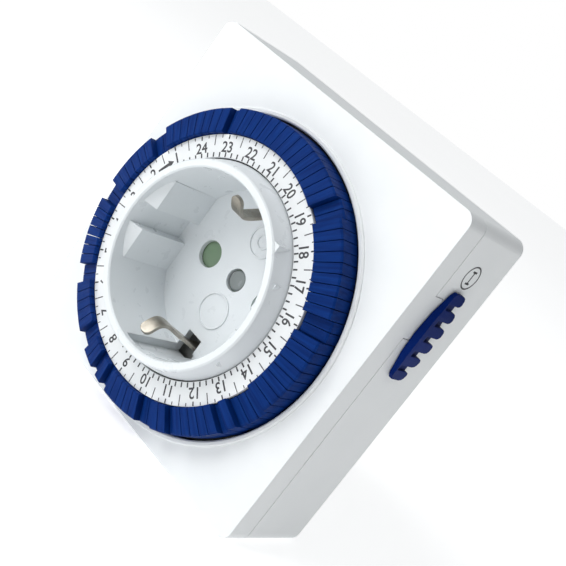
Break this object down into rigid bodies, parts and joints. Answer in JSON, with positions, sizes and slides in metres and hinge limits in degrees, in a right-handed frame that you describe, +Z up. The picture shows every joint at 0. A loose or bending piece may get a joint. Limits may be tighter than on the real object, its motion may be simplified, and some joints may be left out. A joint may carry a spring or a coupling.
{
  "type": "plug-in 24-hour timer switch",
  "caption": "Plug-in daily timer: square case, round dial with push-in segments round a raised earthed socket, plug at the back.",
  "frame": {"origin": "on the axis of the socket, in the plane of the case's flat front face", "axes": "+X right, +Y into the wall socket along the plug pins, +Z up; the socket opens towards -Y"},
  "size_m": [0.0779, 0.0715, 0.078],
  "materials": {
    "case_white": "smooth satin moulding",
    "scale_white": "printed with dark grey numbers and ticks",
    "segment_blue": "royal blue, satin",
    "slider_blue": "navy blue, satin",
    "carrier_black": "moulded",
    "gear_white": "natural acetal",
    "shutter_grey": "greenish grey, moulded",
    "plate_grey": "moulded",
    "lever_black": "moulded",
    "nickel": "nickel plated",
    "steel": "plain",
    "brass": "stamped",
    "copper": "enamelled copper winding"
  },
  "bodies": {
    "case": {"base_plate": "plate_grey", "case_screws": "steel", "contact_sleeve_left": "brass", "contact_sleeve_right": "brass", "detent_spring": "steel", "dial_retainer": "steel", "drive_axle": "steel", "earth_bridge": "nickel", "earth_contact_lower": "nickel", "earth_contact_upper": "nickel", "fixed_contact": "brass", "front_cover": "case_white", "lever_pin": "steel", "live_busbar": "brass", "load_busbar": "brass", "motor_can": "steel", "motor_coil": "copper", "neutral_busbar": "brass", "plate_screws": "steel", "plug_body": "case_white", "plug_pin_left": "nickel", "plug_pin_right": "nickel", "rear_housing": "case_white", "shutter_rivet": "nickel", "shutter_spring": "steel", "socket_cup": "case_white", "switch_blade": "brass"},
    "dial": {"dial_gear": "gear_white", "scale_disc": "scale_white", "tappet_carrier": "carrier_black"},
    "drive_gear": {"drive_gear": "gear_white"},
    "motor_rotor": {"rotor": "steel", "motor_pinion": "steel"},
    "shutter": {"shutter": "shutter_grey"},
    "switch_lever": {"switch_lever": "lever_black"},
    "override_slider": {"override_slider": "slider_blue"},
    "tappets_in_01": {"tappets_in_01": "segment_blue"},
    "tappets_in_02": {"tappets_in_02": "segment_blue"},
    "tappets_in_03": {"tappets_in_03": "segment_blue"},
    "tappets_in_04": {"tappets_in_04": "segment_blue"},
    "tappets_in_05": {"tappets_in_05": "segment_blue"},
    "tappets_in_06": {"tappets_in_06": "segment_blue"},
    "tappets_in_07": {"tappets_in_07": "segment_blue"},
    "tappets_in_08": {"tappets_in_08": "segment_blue"},
    "tappets_in_09": {"tappets_in_09": "segment_blue"},
    "tappets_in_10": {"tappets_in_10": "segment_blue"},
    "tappets_in_11": {"tappets_in_11": "segment_blue"},
    "tappets_in_12": {"tappets_in_12": "segment_blue"},
    "tappets_out_01": {"tappets_out_01": "segment_blue"},
    "tappets_out_02": {"tappets_out_02": "segment_blue"},
    "tappets_out_03": {"tappets_out_03": "segment_blue"},
    "tappets_out_04": {"tappets_out_04": "segment_blue"},
    "tappets_out_05": {"tappets_out_05": "segment_blue"},
    "tappets_out_06": {"tappets_out_06": "segment_blue"},
    "tappets_out_07": {"tappets_out_07": "segment_blue"},
    "tappets_out_08": {"tappets_out_08": "segment_blue"},
    "tappets_out_09": {"tappets_out_09": "segment_blue"},
    "tappets_out_10": {"tappets_out_10": "segment_blue"},
    "tappets_out_11": {"tappets_out_11": "segment_blue"},
    "tappets_out_12": {"tappets_out_12": "segment_blue"}
  },
  "joints": [
    {"name": "dial_turn", "type": "hinge", "parent": "case", "child": "dial", "pos_m": [0, 0, 0], "axis": [0, 1, 0], "continuous": true},
    {"name": "drive_gear_spin", "type": "hinge", "parent": "case", "child": "drive_gear", "pos_m": [-0.00896, 0.0085, 0.02758], "axis": [0, 1, 0], "continuous": true},
    {"name": "rotor_spin", "type": "hinge", "parent": "case", "child": "motor_rotor", "pos_m": [-0.02196, 0.015, 0.02758], "axis": [0, 1, 0], "continuous": true},
    {"name": "shutter_turn", "type": "hinge", "parent": "case", "child": "shutter", "pos_m": [0, 0.0092, 0], "axis": [0, 1, 0], "range_deg": [0, 40], "stiffness_Nm_per_rad": 0.01},
    {"name": "lever_rock", "type": "hinge", "parent": "case", "child": "switch_lever", "pos_m": [0.032, 0.0096, 0.0212], "axis": [0, 0, -1], "range_deg": [0, 7]},
    {"name": "slider_shift", "type": "slide", "parent": "case", "child": "override_slider", "axis": [0, 0, -1], "range_m": [0, 0.005]},
    {"name": "pull_in_01", "type": "slide", "parent": "dial", "child": "tappets_in_01", "axis": [0, -1, 0], "range_m": [0, 0.0016]},
    {"name": "pull_in_02", "type": "slide", "parent": "dial", "child": "tappets_in_02", "axis": [0, -1, 0], "range_m": [0, 0.0016]},
    {"name": "pull_in_03", "type": "slide", "parent": "dial", "child": "tappets_in_03", "axis": [0, -1, 0], "range_m": [0, 0.0016]},
    {"name": "pull_in_04", "type": "slide", "parent": "dial", "child": "tappets_in_04", "axis": [0, -1, 0], "range_m": [0, 0.0016]},
    {"name": "pull_in_05", "type": "slide", "parent": "dial", "child": "tappets_in_05", "axis": [0, -1, 0], "range_m": [0, 0.0016]},
    {"name": "pull_in_06", "type": "slide", "parent": "dial", "child": "tappets_in_06", "axis": [0, -1, 0], "range_m": [0, 0.0016]},
    {"name": "pull_in_07", "type": "slide", "parent": "dial", "child": "tappets_in_07", "axis": [0, -1, 0], "range_m": [0, 0.0016]},
    {"name": "pull_in_08", "type": "slide", "parent": "dial", "child": "tappets_in_08", "axis": [0, -1, 0], "range_m": [0, 0.0016]},
    {"name": "pull_in_09", "type": "slide", "parent": "dial", "child": "tappets_in_09", "axis": [0, -1, 0], "range_m": [0, 0.0016]},
    {"name": "pull_in_10", "type": "slide", "parent": "dial", "child": "tappets_in_10", "axis": [0, -1, 0], "range_m": [0, 0.0016]},
    {"name": "pull_in_11", "type": "slide", "parent": "dial", "child": "tappets_in_11", "axis": [0, -1, 0], "range_m": [0, 0.0016]},
    {"name": "pull_in_12", "type": "slide", "parent": "dial", "child": "tappets_in_12", "axis": [0, -1, 0], "range_m": [0, 0.0016]},
    {"name": "push_out_01", "type": "slide", "parent": "dial", "child": "tappets_out_01", "axis": [0, 1, 0], "range_m": [0, 0.0016]},
    {"name": "push_out_02", "type": "slide", "parent": "dial", "child": "tappets_out_02", "axis": [0, 1, 0], "range_m": [0, 0.0016]},
    {"name": "push_out_03", "type": "slide", "parent": "dial", "child": "tappets_out_03", "axis": [0, 1, 0], "range_m": [0, 0.0016]},
    {"name": "push_out_04", "type": "slide", "parent": "dial", "child": "tappets_out_04", "axis": [0, 1, 0], "range_m": [0, 0.0016]},
    {"name": "push_out_05", "type": "slide", "parent": "dial", "child": "tappets_out_05", "axis": [0, 1, 0], "range_m": [0, 0.0016]},
    {"name": "push_out_06", "type": "slide", "parent": "dial", "child": "tappets_out_06", "axis": [0, 1, 0], "range_m": [0, 0.0016]},
    {"name": "push_out_07", "type": "slide", "parent": "dial", "child": "tappets_out_07", "axis": [0, 1, 0], "range_m": [0, 0.0016]},
    {"name": "push_out_08", "type": "slide", "parent": "dial", "child": "tappets_out_08", "axis": [0, 1, 0], "range_m": [0, 0.0016]},
    {"name": "push_out_09", "type": "slide", "parent": "dial", "child": "tappets_out_09", "axis": [0, 1, 0], "range_m": [0, 0.0016]},
    {"name": "push_out_10", "type": "slide", "parent": "dial", "child": "tappets_out_10", "axis": [0, 1, 0], "range_m": [0, 0.0016]},
    {"name": "push_out_11", "type": "slide", "parent": "dial", "child": "tappets_out_11", "axis": [0, 1, 0], "range_m": [0, 0.0016]},
    {"name": "push_out_12", "type": "slide", "parent": "dial", "child": "tappets_out_12", "axis": [0, 1, 0], "range_m": [0, 0.0016]}
  ],
  "couplings": [
    {"joint": "drive_gear_spin", "follows": "dial_turn", "ratio": -8.6667},
    {"joint": "rotor_spin", "follows": "dial_turn", "ratio": 28.889}
  ]
}
